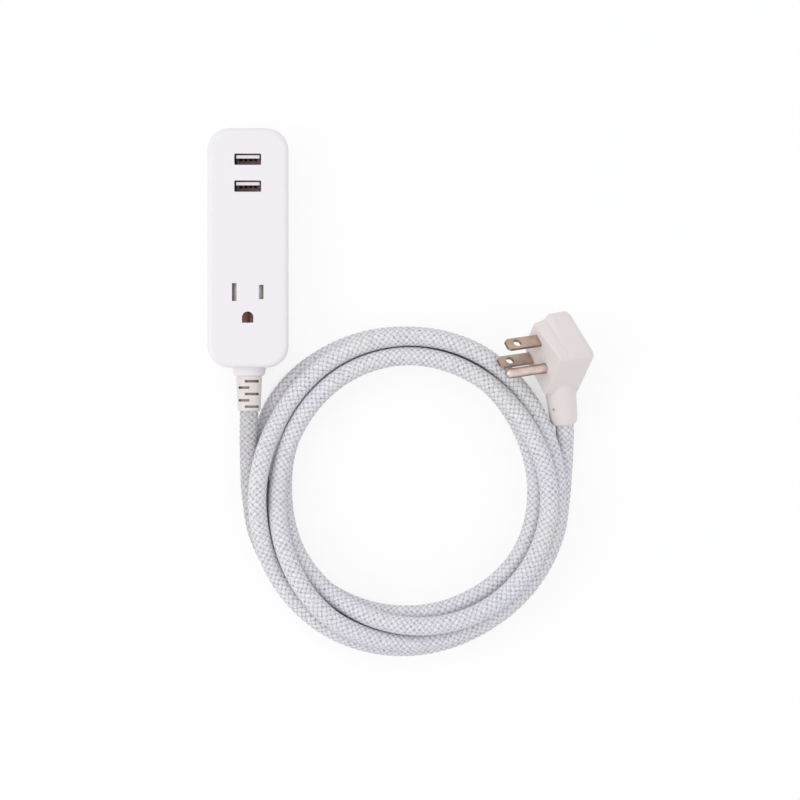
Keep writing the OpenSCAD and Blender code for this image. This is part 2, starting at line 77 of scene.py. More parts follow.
# %% [markdown]
# ## The camera
#
# A flat-lay product shot looks straight down from about a metre and a half.
# An orthographic camera would hide the sides of the head altogether; a long
# lens shows just a sliver of them, as a real one does.  Its length is worked
# out from the width of floor that has to fill the picture.

# %% Camera
view_height = 1.5
floor_width = 0.38478
sensor_width = 36
centre = (71.9 * MM, -71.9 * MM)
bpy.ops.object.camera_add(location=(centre[0], centre[1], view_height), rotation=(0, 0, 0))
camera = bpy.context.object
camera.name = "camera"
camera.data.sensor_width = sensor_width
camera.data.lens = sensor_width * view_height / floor_width
camera.data.clip_end = 20
bpy.context.scene.camera = camera
print("lens", round(camera.data.lens, 1), "mm")

# %% [markdown]
# ## The cord's route
#
# A braided three-core lead is stiff, so a hand-wound coil never lies as a
# neat spiral: each turn finds its own place beside, over or under the last.
# A formula can't give that, and a physics run settles differently each time
# its start changes.  The route is therefore a list of places, twelve to a
# turn like the hours on a clock, each with its distance from the coil's
# centre and its height in millimetres.  Two short runs join its ends to the
# boot and to the plug.

# %% Places of the cord
cord_d = 8.7 * MM
coil_at = Vector((75.7, -115.8, 0))
lay = [
    (75.1, 12.9), (73.5, 6.1), (69.6, 4.45), (64.3, 4.45), (63, 4.45), (63.5, 4.45),
    (64.5, 4.45), (70.5, 4.45), (74.4, 4.45), (74.8, 4.45), (76, 4.45), (76.1, 4.45),
    (70, 4.45), (64.2, 4.45), (60.3, 7.5), (58.5, 12.3), (59, 13.1), (61.1, 13.4),
    (61.2, 13.4), (62, 9), (65, 4.45), (65.5, 4.45), (64.3, 4.45), (62.3, 4.45),
    (59.8, 7), (60.4, 13.5), (61, 17), (63.1, 21.7), (66, 22.1), (67.5, 22.4),
    (66.8, 22.4), (64.4, 19.9), (64.3, 15.3), (64.8, 13.8), (63.5, 13.75), (61.6, 13.75),
    (62, 16.2), (65.2, 22), (70.1, 21.3), (71.4, 14.8), (71, 13.7), (71, 13.7),
    (71, 13.8), (71.5, 13.8), (73.8, 13.75), (74, 13.75), (72.8, 13.7), (70.7, 14.8),
    (71.5, 21.9), (73.7, 15.4), (74.9, 13), (74.4, 5.8), (73, 4.45), (73.4, 4.45),
    (73.7, 4.5),
]
boot_run = [(0, -60, 14), (0, -68, 14), (0, -77, 14), (-0.2, -92, 13.1), (0.2, -107.4, 12.9)]
plug_run = [
    (150, -107.4, 4.6), (150.4, -101.5, 5.15), (150.6, -94.5, 6.8),
    (150.702, -86.277, 9.63), (149.785, -78.534, 11.423),
]
print("places:", len(lay), "in the coil,", len(boot_run) + len(plug_run), "in the two runs")


# %% [markdown]
# A smooth curve through the places gives one unbroken line from the boot to
# the plug.  This kind of curve passes through every point it is given, and
# each span looks only at its four nearest points, so moving one place moves
# the cord only there.

# %% Line through the places
START_ANGLE = 180
HOUR = 30


def smooth(a, b, c, d, t):
    """The point at t, from 0 to 1, on the way from b to c."""
    bend = 2 * a - 5 * b + 4 * c - d
    twist = 3 * b - a - 3 * c + d
    return 0.5 * (2 * b + (c - a) * t + bend * t * t + twist * t ** 3)


def through(points, per):
    """A smooth line through points, per steps to each span."""
    last = len(points) - 1
    line = []
    for k in range(per * last + 1):
        i = min(last - 1, k // per)
        near = [Vector(points[min(last, max(0, j))]) for j in (i - 1, i, i + 1, i + 2)]
        line.append(smooth(*near, k / per - i))
    return line


def coil_line(per):
    """The coil alone, in millimetres, per points to each hour."""
    line = []
    for k, place in enumerate(through([Vector((r, z, 0)) for r, z in lay], per)):
        angle = math.radians(START_ANGLE + HOUR * k / per)
        spot = Vector((place.x * math.cos(angle), place.x * math.sin(angle), place.y))
        line.append(coil_at + spot)
    return line


def whole_route(per):
    """Boot, coil and plug runs as one line, in metres."""
    rough = [Vector(p) for p in boot_run] + coil_line(2) + [Vector(p) for p in plug_run]
    return [p * MM for p in through(rough, per)]


cord_path = whole_route(1)
cord_length = sum((b - a).length for a, b in zip(cord_path, cord_path[1:]))
print("cord", round(cord_length, 3), "m on", len(cord_path), "points")

# %% [markdown]
# ## The cord
#
# The sleeve is a round tube of sixteen flat bundles of yarn.  Modelling every
# bundle would take millions of faces, and a smooth tube would look like
# rubber, so the work is shared.  The tube's rings stand a quarter of a stitch
# apart, which is close enough for the bundles to be real relief: where one
# floats, the ring's point is pushed out, and between four of them it is
# pulled in.  The outline then shows the stitches, and the finer yarns are
# left to the material.  First, the line gets its evenly spaced points.

# %% Even steps along a line
STITCH = 2.86 * MM
BUNDLES = 16
RELIEF = 0.11 * MM


def even_steps(line, step):
    """The line again, with its points one step of length apart."""
    spaced, run = [line[0]], 0.0
    for a, b in zip(line, line[1:]):
        span = (b - a).length
        while run + span >= step * len(spaced):
            spaced.append(a.lerp(b, (step * len(spaced) - run) / span))
        run += span
    return spaced


cord_line = even_steps(whole_route(24), STITCH / 4)
print("rings of the cord:", len(cord_line))


# %% [markdown]
# Blender's own curve bevel could make a plain tube, but not one with stitches.
# Here each ring stands square to the line and its points are pushed in or out.
# The tube also gets its own UV map: once round it across, and metres of cord
# along it.  A weave that reads that map follows every bend, which no flat
# projection can do.

# %% Sweep a tube of stitches
def swell_at(turn, length):
    """How far the surface stands out, at an angle round and a length along."""
    return -RELIEF * math.cos(BUNDLES / 2 * turn) * math.cos(2 * math.pi * length / STITCH)


def sweep(name, line, step, radius):
    """A closed tube of stitches along line, with a UV map of (turn, metres)."""
    sides = 2 * BUNDLES
    points, faces = [], []
    for i, point in enumerate(line):
        ahead = (line[min(i + 1, len(line) - 1)] - line[max(i - 1, 0)]).normalized()
        side = ahead.cross(Vector((0, 0, 1))).normalized()
        up = side.cross(ahead)
        for k in range(sides):
            turn = 2 * math.pi * k / sides
            out = math.cos(turn) * side + math.sin(turn) * up
            points.append(point + (radius + swell_at(turn, i * step)) * out)
    for i in range(len(line) - 1):
        for k in range(sides):
            n = (k + 1) % sides
            faces.append((i * sides + k, (i + 1) * sides + k, (i + 1) * sides + n, i * sides + n))
    last = (len(line) - 1) * sides
    faces += [tuple(range(sides)), tuple(range(last + sides - 1, last - 1, -1))]
    mesh = bpy.data.meshes.new(name)
    mesh.from_pydata(points, [], faces)
    uv = mesh.uv_layers.new(name="along")
    for face in mesh.polygons[:-2]:
        i, k = divmod(face.index, sides)
        corners = ((k, i), (k, i + 1), (k + 1, i + 1), (k + 1, i))
        for loop, (a, b) in zip(face.loop_indices, corners):
            uv.data[loop].uv = (a / sides, b * step)
    mesh.shade_smooth()
    tube = bpy.data.objects.new(name, mesh)
    bpy.context.scene.collection.objects.link(tube)
    return tube


# %% [markdown]
# The finished tube stands in for the three plain cord solids of the CAD model
# and belongs to the same body.

# %% The cord itself
cord = sweep("braided_cord", cord_line, STITCH / 4, cord_d / 2)
first = cord.data.polygons[0]
print("first face looks outward:", first.normal.dot(first.center - cord_line[0]) > 0)
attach(cord, "cord_set")
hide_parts("cord_lead_in", "cord_coil", "cord_lead_out")
print("cord mesh:", len(cord.data.polygons), "faces")


# %% [markdown]
# ## The shutter spring
#
# Inside the head a small coil spring pushes the two shutters apart.  A rigid
# solid can't shorten, and moving it with one shutter would drive it into the
# other.  So a copy of its mesh, with its doubled points welded, stands for it
# and belongs to the same body as the cord.

# %% Copied spring
WELD = 0.001 * MM
spring = bpy.data.objects.new("squeezed_spring", nodes["shutter_spring"].data.copy())
bpy.context.scene.collection.objects.link(spring)
clear_selection()
spring.select_set(True)
bpy.context.view_layer.objects.active = spring
bpy.ops.object.mode_set(mode="EDIT")
bpy.ops.mesh.select_all(action="SELECT")
bpy.ops.mesh.remove_doubles(threshold=WELD)
bpy.ops.object.mode_set(mode="OBJECT")
clear_selection()
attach(spring, "cord_set")
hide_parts("shutter_spring")
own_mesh(spring)

# %% [markdown]
# ## Tools for the finishes
#
# A material is a small graph of nodes.  It could be clicked together in the
# shader editor, but a script can be read, repeated and changed in one place.
# These helpers keep each graph short: one starts a material with its shader,
# one adds a node and fills its sockets, and the rest name the commonest nodes.

# %% Material and node helpers
def start_material(name, colour, roughness, metallic=0.0, specular=0.5):
    material = bpy.data.materials.new(name)
    material.use_nodes = True
    shader = material.node_tree.nodes["Principled BSDF"]
    shader.inputs["Base Color"].default_value = (*colour, 1)
    shader.inputs["Roughness"].default_value = roughness
    shader.inputs["Metallic"].default_value = metallic
    shader.inputs["Specular IOR Level"].default_value = specular
    return material, material.node_tree, shader


def fill(tree, node, inputs):
    """Fills sockets by name or number; a socket is linked, the rest is set."""
    for key, value in inputs.items():
        if isinstance(value, bpy.types.NodeSocket):
            tree.links.new(value, node.inputs[key])
        else:
            node.inputs[key].default_value = value
    return node


def add_node(tree, kind, inputs=None, **settings):
    """Adds a node; inputs may be numbers, colours or sockets to link."""
    node = tree.nodes.new(kind)
    for key, value in settings.items():
        setattr(node, key, value)
    return fill(tree, node, inputs or {})


def maths(tree, operation, *values):
    inputs = dict(enumerate(values))
    return add_node(tree, "ShaderNodeMath", inputs, operation=operation).outputs[0]


def remap(tree, value, low, high, to_low=0.0, to_high=1.0):
    """Value moved from the range low..high to another, and held inside it."""
    node = add_node(tree, "ShaderNodeMapRange", {
        "Value": value, "From Min": low, "From Max": high, "To Min": to_low, "To Max": to_high})
    return node.outputs["Result"]


def blend_colours(tree, factor, a, b, kind="MIX"):
    node = add_node(tree, "ShaderNodeMix", data_type="RGBA", blend_type=kind)
    return fill(tree, node, {0: factor, 6: a, 7: b}).outputs[2]


def object_parts(tree):
    """The place of a point on its object, as X, Y and Z."""
    place = add_node(tree, "ShaderNodeTexCoord").outputs["Object"]
    return add_node(tree, "ShaderNodeSeparateXYZ", {"Vector": place}).outputs


# %% [markdown]
# An effect that several materials share is written once, as a node group, with
# sockets for what differs.  The last helper dresses the CAD parts: whatever
# slots a part came with, all of them get the same finish.

# %% Group helpers and dressing
def new_group(name, inputs, outputs):
    group = bpy.data.node_groups.new(name, "ShaderNodeTree")
    for title, kind, value in inputs:
        socket = group.interface.new_socket(title, in_out="INPUT", socket_type=kind)
        if value is not None:
            socket.default_value = value
    for title, kind in outputs:
        group.interface.new_socket(title, in_out="OUTPUT", socket_type=kind)
    start = group.nodes.new("NodeGroupInput")
    end = group.nodes.new("NodeGroupOutput")
    return group, start, end


def use_group(tree, group, **inputs):
    """Adds a group; an underscore in a name stands for its space."""
    node = add_node(tree, "ShaderNodeGroup", node_tree=group)
    return fill(tree, node, {key.replace("_", " "): value for key, value in inputs.items()})


def wear(material, *names):
    """Puts one material on every slot of the named CAD parts."""
    for name in names:
        mesh = nodes[name].data
        if not mesh.materials:
            mesh.materials.append(material)
        for i in range(len(mesh.materials)):
            mesh.materials[i] = material
    print(material.name, "on", ", ".join(names))


# %% [markdown]
# ## Plastics
#
# Every moulded part shares two traits: a very fine spark-eroded skin that
# breaks up its gloss, and a slow drift of tone across it.  Both could be
# painted as images, but noise has no edge, no seam and no size limit.  They go
# in one group, so each plastic only chooses how strong they are.

# %% Moulded skin group
GLOSS_SPREAD = 0.12
F, C, V = "NodeSocketFloat", "NodeSocketColor", "NodeSocketVector"
skin_group, skin_in, skin_out = new_group(
    "moulded_skin",
    [("Colour", C, (0.8, 0.8, 0.8, 1)), ("Drift", F, 0.03),
     ("Roughness", F, 0.4), ("Grain", F, 2200.0)],
    [("Colour", C), ("Roughness", F), ("Height", F)])
place = add_node(skin_group, "ShaderNodeTexCoord").outputs["Object"]
fine = add_node(skin_group, "ShaderNodeTexNoise", {
    "Vector": place, "Scale": skin_in.outputs["Grain"], "Detail": 2.0}).outputs["Fac"]
slow = add_node(skin_group, "ShaderNodeTexNoise", {
    "Vector": place, "Scale": 45.0, "Detail": 3.0}).outputs["Fac"]
slow_wave = maths(skin_group, "SUBTRACT", slow, 0.5)
fine_wave = maths(skin_group, "SUBTRACT", fine, 0.5)
shift = maths(skin_group, "MULTIPLY", slow_wave, skin_in.outputs["Drift"])
tone = add_node(skin_group, "ShaderNodeHueSaturation", {
    "Value": maths(skin_group, "ADD", shift, 1.0), "Color": skin_in.outputs["Colour"]}).outputs["Color"]
rough = maths(
    skin_group, "ADD", skin_in.outputs["Roughness"],
    maths(skin_group, "MULTIPLY", fine_wave, GLOSS_SPREAD))
skin_group.links.new(tone, skin_out.inputs["Colour"])
skin_group.links.new(rough, skin_out.inputs["Roughness"])
skin_group.links.new(fine, skin_out.inputs["Height"])
print("moulded skin:", len(skin_group.nodes), "nodes")


# %% [markdown]
# A plastic is that skin on the standard shader.  Vinyl is moulded with much
# softer edges than its CAD solid has.  The solid can't be changed, so the
# shading is rounded instead: a bevel node blends the direction of the faces
# that meet at an edge, and the edge catches light as a round one would.

# %% A plastic
def moulded(name, colour, roughness, drift=0.03, grain=2200.0, depth=0.00002, soft=0.0):
    """A plastic; soft is the radius over which its edges are blurred."""
    material, tree, shader = start_material(name, colour, roughness)
    skin = use_group(
        tree, skin_group, Colour=(*colour, 1), Drift=drift, Roughness=roughness, Grain=grain)
    tree.links.new(skin.outputs["Colour"], shader.inputs["Base Color"])
    tree.links.new(skin.outputs["Roughness"], shader.inputs["Roughness"])
    bump = add_node(tree, "ShaderNodeBump", {
        "Height": skin.outputs["Height"], "Distance": depth, "Strength": 0.25})
    if soft:
        rounded = add_node(tree, "ShaderNodeBevel", {"Radius": soft}, samples=8)
        tree.links.new(rounded.outputs["Normal"], bump.inputs["Normal"])
    tree.links.new(bump.outputs["Normal"], shader.inputs["Normal"])
    return material


# %% [markdown]
# Real pieces are darker where light hardly reaches: deep in a groove, or at
# the low end of a ramp, and here that shade is painted.  Each could have a
# second material, but then its edge would show.  A helper multiplies another
# tone over a finished material instead, through a mask that fades in.

# %% Toning helper
def tone_over(material, mask, colour):
    tree = material.node_tree
    base = tree.nodes["Principled BSDF"].inputs["Base Color"]
    toned = blend_colours(tree, mask, base.links[0].from_socket, (*colour, 1), kind="MULTIPLY")
    tree.links.new(toned, base)


# %% [markdown]
# The head and its collar are satin ABS with a faint cool cast.  The plug is a
# softer, warmer vinyl, moulded round a hard core in one shot with its strain
# relief, so it is duller and has no sharp edge.  The socket carrier and the
# plug's core don't show, and get the tan of a plastic that stands heat.

# %% Head and plug
white_shell = moulded("white_shell", (0.825, 0.79, 0.82), 0.38)
wear(white_shell, "front_cover", "rear_cover", "cord_collar")
warm_vinyl = moulded(
    "warm_vinyl", (0.77, 0.71, 0.69), 0.5, drift=0.05, grain=1500.0, depth=0.00004, soft=0.0016)
wear(warm_vinyl, "plug_body")
carrier_plastic = moulded("carrier_plastic", (0.55, 0.48, 0.42), 0.5, drift=0.06)
wear(carrier_plastic, "socket_carrier", "plug_core")

# %% [markdown]
# The two safety shutters are what one sees in the blade slots.  They slope
# down from the middle of the outlet, so their outer halves sink into shade.
# The lamps alone don't darken so shallow a slot enough, so a painted shade
# fades in with the distance from the middle.

# %% Shutters
shutter_plastic = moulded("shutter_plastic", (0.90, 0.84, 0.83), 0.45, drift=0.06)
tree = shutter_plastic.node_tree
across_slot = maths(tree, "ABSOLUTE", object_parts(tree)["X"])
# painted shade over the outer halves of the shutters
tone_over(shutter_plastic, remap(tree, across_slot, 0.0058, 0.0072), (0.68, 0.575, 0.53))
wear(shutter_plastic, "neutral_shutter", "hot_shutter")

# %% [markdown]
# The boot is the same vinyl as the plug.  Its grooves are so narrow that
# hardly any light comes back out of them, so they get a painted shade.
# How deep a point lies can be worked out: the boot is a cone round the cord,
# so the depth is the cone's radius there less the point's distance from the
# axis.  Only the stretch that has grooves is toned.

# %% Boot
BOOT_AXIS_Z = 14 * MM
TAPER, RADIUS_AT_ZERO = 0.04196, 8.68 * MM
FIRST_ROW, LAST_ROW = -62.0 * MM, -75.8 * MM
boot_vinyl = moulded("boot_vinyl", (0.735, 0.68, 0.66), 0.5, drift=0.05, grain=1500.0, depth=0.00004)
tree = boot_vinyl.node_tree
parts = object_parts(tree)
lift = maths(tree, "SUBTRACT", parts["Z"], BOOT_AXIS_Z)
from_axis = maths(tree, "SQRT", maths(
    tree, "ADD", maths(tree, "MULTIPLY", parts["X"], parts["X"]), maths(tree, "MULTIPLY", lift, lift)))
surface = maths(tree, "MULTIPLY_ADD", parts["Y"], TAPER, RADIUS_AT_ZERO)
depth = maths(tree, "SUBTRACT", surface, from_axis)
in_rows = maths(
    tree, "MULTIPLY", maths(tree, "LESS_THAN", parts["Y"], FIRST_ROW),
    maths(tree, "GREATER_THAN", parts["Y"], LAST_ROW))
# painted shade in the grooves, deeper points darker
groove_shade = maths(tree, "MULTIPLY", in_rows, remap(tree, depth, 0.12 * MM, 0.5 * MM))
tone_over(boot_vinyl, groove_shade, (0.46, 0.39, 0.37))
wear(boot_vinyl, "cord_boot")

# %% [markdown]
# The white tongues in the two ports are painted warmer and darker the deeper
# they go: painted shade, as light reaches their roots only by way of metal
# walls.  The rest of these pieces are shut in the head.  They still get the
# colours they are sold in, since a cover may be taken off one day: black
# cases, grey ferrite, a green board, amber tape, and leads coded black, white,
# green and red.

# %% Small inner plastics
tongue_plastic = moulded("tongue_plastic", (0.80, 0.74, 0.76), 0.45)
tree = tongue_plastic.node_tree
# painted shade, warmer towards the roots of the tongues
deep = remap(tree, object_parts(tree)["Z"], 21.5 * MM, 16.5 * MM)
tone_over(tongue_plastic, deep, (1.0, 0.80, 0.76))
wear(tongue_plastic, "usb_tongues")
black_plastic = moulded("black_plastic", (0.02, 0.02, 0.022), 0.42)
wear(black_plastic, "capacitors", "power_chip")
ferrite = moulded("ferrite", (0.045, 0.045, 0.05), 0.6, drift=0.2, grain=900.0, depth=0.0001)
wear(ferrite, "transformer_core")
board_green = moulded("board_green", (0.02, 0.11, 0.05), 0.35, drift=0.15, grain=700.0)
wear(board_green, "circuit_board")
winding_tape = moulded("winding_tape", (0.70, 0.46, 0.04), 0.3, drift=0.08, grain=400.0)
wear(winding_tape, "transformer_winding")
for name, colour in (
    ("hot_lead", (0.02, 0.02, 0.02)), ("neutral_lead", (0.75, 0.75, 0.72)),
    ("ground_lead", (0.01, 0.16, 0.04)), ("board_leads", (0.35, 0.01, 0.01)),
):
    wear(moulded(name + "_skin", colour, 0.45, drift=0.08, grain=1200.0), name)

# %% [markdown]
# ## Metals
#
# Stamped metal is never evenly bright: rolling leaves fine lines along the
# strip and handling dulls it in patches.  Scratches could be modelled or
# painted, but at this size noise stretched along one direction does the same.
# It goes in a second group, with a second noise for the dull patches.

# %% Rolled metal group
LINE_GLOSS = 0.2
metal_group, metal_in, metal_out = new_group(
    "rolled_metal",
    [("Colour", C, (0.6, 0.6, 0.6, 1)), ("Dull Colour", C, (0.4, 0.4, 0.4, 1)),
     ("Roughness", F, 0.3), ("Stretch", V, None)],
    [("Colour", C), ("Roughness", F), ("Height", F)])
place = add_node(metal_group, "ShaderNodeTexCoord").outputs["Object"]
stretched = add_node(metal_group, "ShaderNodeMapping", {
    "Vector": place, "Scale": metal_in.outputs["Stretch"]}).outputs["Vector"]
lines = add_node(metal_group, "ShaderNodeTexNoise", {
    "Vector": stretched, "Scale": 1.0, "Detail": 4.0}).outputs["Fac"]
patches = add_node(metal_group, "ShaderNodeTexNoise", {
    "Vector": place, "Scale": 220.0, "Detail": 3.0}).outputs["Fac"]
dull = remap(metal_group, patches, 0.42, 0.7)
metal_group.links.new(
    blend_colours(metal_group, dull, metal_in.outputs["Colour"], metal_in.outputs["Dull Colour"]),
    metal_out.inputs["Colour"])
metal_group.links.new(
    maths(metal_group, "MULTIPLY_ADD", lines, LINE_GLOSS, metal_in.outputs["Roughness"]),
    metal_out.inputs["Roughness"])
metal_group.links.new(lines, metal_out.inputs["Height"])
print("rolled metal:", len(metal_group.nodes), "nodes")


# %% [markdown]
# The stretch says which way the strip was rolled: noise that changes slowly
# along one axis and fast along the others draws its lines along that axis.

# %% A metal
ALONG_X = (300, 2500, 2500)
ALONG_Z = (2500, 2500, 300)


def rolled(name, colour, dull_colour, roughness, stretch=ALONG_X):
    """A metal that is dulled in patches and lined along its stretch."""
    material, tree, shader = start_material(name, colour, roughness, metallic=1.0)
    metal = use_group(
        tree, metal_group, Colour=(*colour, 1), Dull_Colour=(*dull_colour, 1),
        Roughness=roughness, Stretch=stretch)
    tree.links.new(metal.outputs["Colour"], shader.inputs["Base Color"])
    tree.links.new(metal.outputs["Roughness"], shader.inputs["Roughness"])
    bump = add_node(tree, "ShaderNodeBump", {
        "Height": metal.outputs["Height"], "Distance": 0.00002, "Strength": 0.3})
    tree.links.new(bump.outputs["Normal"], shader.inputs["Normal"])
    return material


# %% [markdown]
# The blades and the ground pin are brass under a thin warm nickel.  The faces
# that lie up stay bright, while those turned down or aside get a painted
# brown shade.  A mask from the direction of each face tells them apart; it
# is the piece's own direction, so the painted shade stays put from any view.

# %% Plug metals
def paint_facing_shade(material, colour):
    """Paints shade over the faces that don't look up, the more they turn away."""
    tree = material.node_tree
    faces = add_node(tree, "ShaderNodeTexCoord").outputs["Normal"]
    up = add_node(tree, "ShaderNodeSeparateXYZ", {"Vector": faces}).outputs["Z"]
    tone_over(material, remap(tree, up, 0.35, 0.85, 1.0, 0.0), colour)


blade_metal = rolled("blade_metal", (0.62, 0.49, 0.41), (0.46, 0.35, 0.31), 0.32)
paint_facing_shade(blade_metal, (0.45, 0.36, 0.33))
wear(blade_metal, "neutral_blade", "hot_blade")
pin_metal = rolled("pin_metal", (0.78, 0.63, 0.57), (0.60, 0.46, 0.41), 0.28)
paint_facing_shade(pin_metal, (0.40, 0.30, 0.26))
wear(pin_metal, "ground_pin")

# %% [markdown]
# The shell of a port is folded from bright tinned steel; its left side is
# painted darker, a painted reflection of the dark cavity.  Its four contacts
# are painted nearly black, as painted shade down there.  The clips of the
# outlet are bare brass, but for the ground clip: copper gone dull, the
# reddish thing in the round hole.

# %% Metals of the ports and the outlet
shell_metal = rolled(
    "shell_metal", (0.68, 0.60, 0.60), (0.42, 0.36, 0.37), 0.22, stretch=ALONG_Z)
tree = shell_metal.node_tree
painted_left_reflection = remap(tree, object_parts(tree)["X"], 4 * MM, -5 * MM)
# painted reflection: the shell darker on its left wall
tone_over(shell_metal, painted_left_reflection, (0.34, 0.28, 0.30))
wear(shell_metal, "upper_usb_shell", "lower_usb_shell")
# the contacts are painted nearly black as shade
contact_shade_metal = rolled(
    "contacts_in_painted_shade", (0.07, 0.035, 0.035), (0.04, 0.02, 0.02), 0.35, stretch=ALONG_Z)
wear(contact_shade_metal, "usb_contacts")
brass = rolled("bare_brass", (0.72, 0.52, 0.24), (0.5, 0.34, 0.15), 0.35, stretch=ALONG_Z)
wear(brass, "hot_contact", "neutral_contact")
copper = rolled("aged_copper", (1.0, 0.74, 0.70), (0.92, 0.62, 0.59), 0.5, stretch=ALONG_Z)
wear(copper, "ground_contact")

# %% [markdown]
# Screws and spring are plated steel.  The spring is a mesh of this file, so
# the material is put on it directly, in place of those that came with its copy.

# %% Plated steel
steel = rolled("plated_steel", (0.62, 0.62, 0.62), (0.4, 0.4, 0.4), 0.3)
wear(steel, "cover_screws")
spring.data.materials.clear()
spring.data.materials.append(steel)
print("spring wears", spring.data.materials[0].name)

# %% [markdown]
# ## The braid
#
# The sleeve is braided from sixteen flat bundles of white yarn, eight wound
# each way.  Where two bundles cross, one floats over the other, and a small
# dark hole is left at each corner between four crossings.  An image of cloth
# would blur and repeat; the pattern is simple enough to be worked out.  In
# the cord's own map one family of bundles climbs as it goes round and the
# other falls, so the sum and the difference of turn and length number the
# bundles of each family.  The two numbers together say which one is on top.

# %% Which bundle is on top
EACH_WAY = BUNDLES / 2
braid_group, braid_in, braid_out = new_group(
    "crossing_braid", [("Vector", V, None), ("Pitch", F, STITCH)],
    [("Height", F), ("Hole", F), ("Edge", F)])
parts = add_node(braid_group, "ShaderNodeSeparateXYZ", {"Vector": braid_in.outputs["Vector"]})
turn = maths(braid_group, "MULTIPLY", parts.outputs["X"], EACH_WAY)
climb = maths(braid_group, "DIVIDE", parts.outputs["Y"], braid_in.outputs["Pitch"])
rising = maths(braid_group, "ADD", turn, climb)
falling = maths(braid_group, "SUBTRACT", turn, climb)
across_rising = maths(braid_group, "FRACT", rising)
across_falling = maths(braid_group, "FRACT", falling)
cell = maths(
    braid_group, "ADD", maths(braid_group, "FLOOR", rising), maths(braid_group, "FLOOR", falling))
odd_or_even = maths(braid_group, "FLOORED_MODULO", cell, 2.0)
on_top = maths(braid_group, "COMPARE", odd_or_even, 0.0, 0.5)
print("bundles each way:", EACH_WAY)


# %% [markdown]
# From there on only the upper bundle counts.  It is a low arch from edge to
# edge that dives at both ends under the next one, with three yarns side by
# side on its back.  Its edges and the holes at its corners are given out too,
# so that the material can shade them.

# %% Arch, yarns, edges and holes
EDGE_CURVE, END_CURVE = 2.4, 3.0
THREE_YARNS = 3 * math.pi
YARN_RELIEF = 0.18


def pick(tree, factor, a, b):
    """Number a where factor is 0, and b where it is 1."""
    return add_node(tree, "ShaderNodeMix", {0: factor, 2: a, 3: b}).outputs[0]


def off_centre(tree, value):
    """0 in the middle of a bundle and 1 at both edges."""
    return maths(tree, "ABSOLUTE", maths(tree, "MULTIPLY_ADD", value, 2.0, -1.0))


def arch(tree, value, curve):
    """1 in the middle of a bundle, falling to 0 at its edges."""
    return maths(tree, "SUBTRACT", 1.0, maths(tree, "POWER", value, curve))


across = pick(braid_group, on_top, across_falling, across_rising)
along = pick(braid_group, on_top, across_rising, across_falling)
flank = off_centre(braid_group, across)
dip = off_centre(braid_group, along)
crown = maths(
    braid_group, "MULTIPLY", arch(braid_group, flank, EDGE_CURVE), arch(braid_group, dip, END_CURVE))
wave = maths(braid_group, "SINE", maths(braid_group, "MULTIPLY", across, THREE_YARNS))
yarns = maths(braid_group, "ABSOLUTE", wave)
height = maths(braid_group, "MULTIPLY_ADD", yarns, YARN_RELIEF, crown)
hole = remap(braid_group, maths(braid_group, "MULTIPLY", flank, dip), 0.3, 0.75)
edge = maths(
    braid_group, "MAXIMUM", remap(braid_group, flank, 0.45, 0.95),
    remap(braid_group, dip, 0.7, 1.0, 0.0, 0.3))
braid_group.links.new(height, braid_out.inputs["Height"])
braid_group.links.new(hole, braid_out.inputs["Hole"])
braid_group.links.new(edge, braid_out.inputs["Edge"])
print("crossing braid:", len(braid_group.nodes), "nodes")

# %% [markdown]
# A real braid is never as regular as its formula.  Some bundles sit a little
# looser than others, so a noise pushes the cord's map about by a twentieth of
# a turn before the weave reads it.  Three more noises, from slow to fine,
# are kept for the colours.

# %% Loose weave
WANDER = (0.05, 1.4 * MM, 0)


def noise(tree, place, scale, detail, output="Fac"):
    settings = {"Vector": place, "Scale": scale, "Detail": detail}
    return add_node(tree, "ShaderNodeTexNoise", settings).outputs[output]


braid, tree, shader = start_material("white_braid", (0.8, 0.8, 0.84), 0.75, specular=0.25)
along_cord = add_node(tree, "ShaderNodeUVMap", uv_map="along").outputs["UV"]
place = add_node(tree, "ShaderNodeTexCoord").outputs["Object"]
wander = noise(tree, place, 420.0, 1.0, "Color")
centred = {0: wander, 1: (0.5, 0.5, 0.5)}
wander = add_node(tree, "ShaderNodeVectorMath", centred, operation="SUBTRACT").outputs[0]
pushed = {0: wander, 1: WANDER, 2: along_cord}
loose = add_node(tree, "ShaderNodeVectorMath", pushed, operation="MULTIPLY_ADD").outputs[0]
weave = use_group(tree, braid_group, Vector=loose)
drift = noise(tree, place, 22.0, 2.0)
yarn_tone = noise(tree, place, 650.0, 2.0)
speckle = noise(tree, place, 1300.0, 1.0)
print("weave shifts by", WANDER[0], "turn and", WANDER[1], "m")

# %% [markdown]
# White yarn looks slightly lilac in its shadows and neutral where it faces
# the light.  One flat colour would turn the sleeve to plastic, so the tone is
# built as a dyer sees it: two whites that drift, greyer yarns among them, a
# fine speckle of fibres, painted shade along the edges of the bundles, and last
# painted shade in the holes, some of them nearly closed.  Over its first ten
# centimetres or so from the boot the sleeve is a shade greyer.

# %% Braid material
LILAC_WHITE, NEUTRAL_WHITE = (0.83, 0.815, 0.87, 1), (0.84, 0.83, 0.84, 1)
GREY_YARN, SPECKLE = (0.58, 0.57, 0.63, 1), (0.50, 0.49, 0.54, 1)
EDGE_SHADE, HOLE_SHADE = (0.42, 0.41, 0.46, 1), (0.12, 0.12, 0.15, 1)
light = blend_colours(tree, remap(tree, drift, 0.4, 0.6), LILAC_WHITE, NEUTRAL_WHITE)
ground = blend_colours(tree, remap(tree, yarn_tone, 0.45, 0.72, 0, 0.4), light, GREY_YARN)
ground = blend_colours(tree, remap(tree, speckle, 0.5, 0.64, 0, 0.45), ground, SPECKLE)
